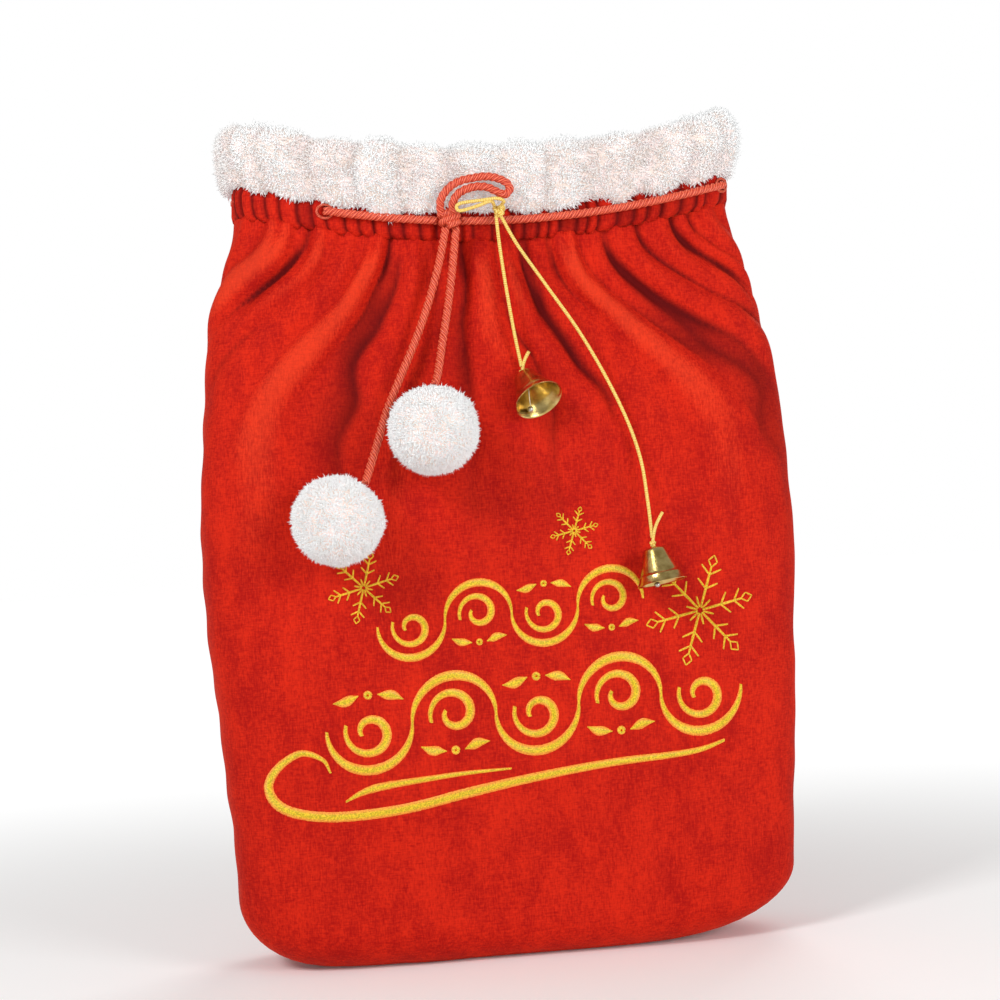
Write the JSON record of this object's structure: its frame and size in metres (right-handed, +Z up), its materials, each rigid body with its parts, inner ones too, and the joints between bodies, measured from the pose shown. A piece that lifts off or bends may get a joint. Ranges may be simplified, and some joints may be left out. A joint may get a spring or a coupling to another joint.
{
  "type": "fabric gift sack",
  "caption": "Velvet gift sack with a plush cuff at its mouth, gold embroidery, and a twisted drawstring with pompoms and small bells.",
  "frame": {"origin": "centre of the base, on the surface that the sack stands on", "axes": "+Z up, -Y the embroidered front, +X to the right as seen from the front"},
  "size_m": [0.5006, 0.2251, 0.7],
  "materials": {
    "velvet": "crushed velvet, soft nap with a slight sheen",
    "velvet_inside": "velvet's woven back and overlocked seam allowances",
    "plush": "white long-pile plush",
    "twisted_cord": "three-strand twisted satin cord",
    "gold_elastic": "round woven gold elastic",
    "gold_thread": "satin-stitched embroidery thread",
    "backing": "white non-woven stabiliser",
    "bell_brass": "polished, lightly tarnished sheet brass",
    "wire": "bright bent wire"
  },
  "bodies": {
    "root": {"front_panel": "velvet", "back_panel": "velvet", "side_seam_left": "velvet_inside", "side_seam_right": "velvet_inside", "bottom_seam": "velvet_inside", "embroidery_backing": "backing", "casing_front": "velvet", "casing_back": "velvet", "eyelet_left": "velvet_inside", "eyelet_right": "velvet_inside", "fur_cuff_front": "plush", "fur_cuff_back": "plush", "drawstring_inside": "twisted_cord", "drawstring_front_left": "twisted_cord", "drawstring_front_right": "twisted_cord", "drawstring_knot": "twisted_cord", "bow_loop": "twisted_cord", "gold_loop": "gold_elastic", "gold_knot": "gold_elastic", "snowflake_small": "gold_thread", "snowflake_left": "gold_thread", "snowflake_large": "gold_thread", "scroll_upper": "gold_thread", "scroll_lower": "gold_thread", "underline_swash": "gold_thread"},
    "tail_left": {"tail_left": "twisted_cord", "pompom_left": "plush", "pompom_core_left": "twisted_cord"},
    "tail_right": {"tail_right": "twisted_cord", "pompom_right": "plush", "pompom_core_right": "twisted_cord"},
    "string_left": {"bell_string_left": "gold_elastic", "string_knot_left": "gold_elastic"},
    "string_right": {"bell_string_right": "gold_elastic", "string_knot_right": "gold_elastic"},
    "bell_left": {"bell_left": "bell_brass", "clapper_hook_left": "wire"},
    "bell_right": {"bell_right": "bell_brass", "clapper_hook_right": "wire"},
    "clapper_left": {"clapper_left": "wire"},
    "clapper_right": {"clapper_right": "wire"}
  },
  "joints": [
    {"name": "tail_left_lift", "type": "hinge", "parent": "root", "child": "tail_left", "pos_m": [-0.041, -0.067, 0.597], "axis": [-1, 0, 0], "range_deg": [0, 75]},
    {"name": "tail_right_lift", "type": "hinge", "parent": "root", "child": "tail_right", "pos_m": [-0.032, -0.067, 0.597], "axis": [-1, 0, 0], "range_deg": [0, 75]},
    {"name": "string_left_lift", "type": "hinge", "parent": "root", "child": "string_left", "pos_m": [0.0015, -0.072, 0.607], "axis": [-1, 0, 0], "range_deg": [0, 70]},
    {"name": "string_right_lift", "type": "hinge", "parent": "root", "child": "string_right", "pos_m": [0.0065, -0.072, 0.607], "axis": [-1, 0, 0], "range_deg": [0, 70]},
    {"name": "bell_left_swing", "type": "hinge", "parent": "string_left", "child": "bell_left", "pos_m": [0.016, -0.074, 0.481], "axis": [-1, 0, 0], "range_deg": [0, 40]},
    {"name": "bell_right_swing", "type": "hinge", "parent": "string_right", "child": "bell_right", "pos_m": [0.113, -0.093, 0.336], "axis": [-1, 0, 0], "range_deg": [0, 60]},
    {"name": "clapper_left_swing", "type": "hinge", "parent": "bell_left", "child": "clapper_left", "pos_m": [0.01891, -0.08025, 0.47335], "axis": [-0.9063, -0.4226, 0], "range_deg": [0, 55]},
    {"name": "clapper_right_swing", "type": "hinge", "parent": "bell_right", "child": "clapper_right", "pos_m": [0.1146, -0.09443, 0.32593], "axis": [-1, 0, 0], "range_deg": [-20, 35]}
  ]
}
